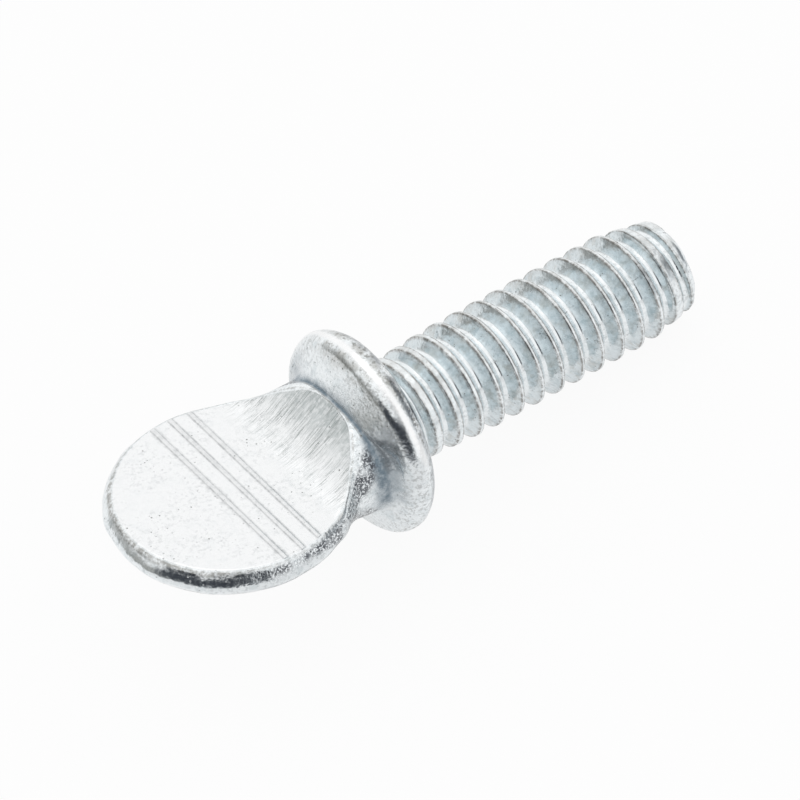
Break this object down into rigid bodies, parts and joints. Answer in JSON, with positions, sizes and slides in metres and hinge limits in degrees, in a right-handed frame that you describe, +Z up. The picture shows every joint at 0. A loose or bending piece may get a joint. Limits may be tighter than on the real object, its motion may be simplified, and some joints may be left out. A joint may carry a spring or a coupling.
{
  "type": "thumb screw",
  "caption": "Spade-head thumb screw: flat round blade with raised grip lines, ramped neck, rounded collar and coarse right-hand thread, one piece of zinc-plated steel.",
  "frame": {"origin": "middle of the outline seen from above, at the height of the surface the screw lies on", "axes": "+X towards the tip of the thread, +Z up, +Y across the blade; the screw's own axis dips 8.8 degrees towards the tip, as it lies"},
  "size_m": [0.034, 0.0126, 0.0111],
  "materials": {
    "zinc_plated_steel": "bright zinc plate over forged steel, pale bluish white with fine dark pits"
  },
  "bodies": {
    "root": {"thumb_screw": "zinc_plated_steel"}
  },
  "joints": []
}
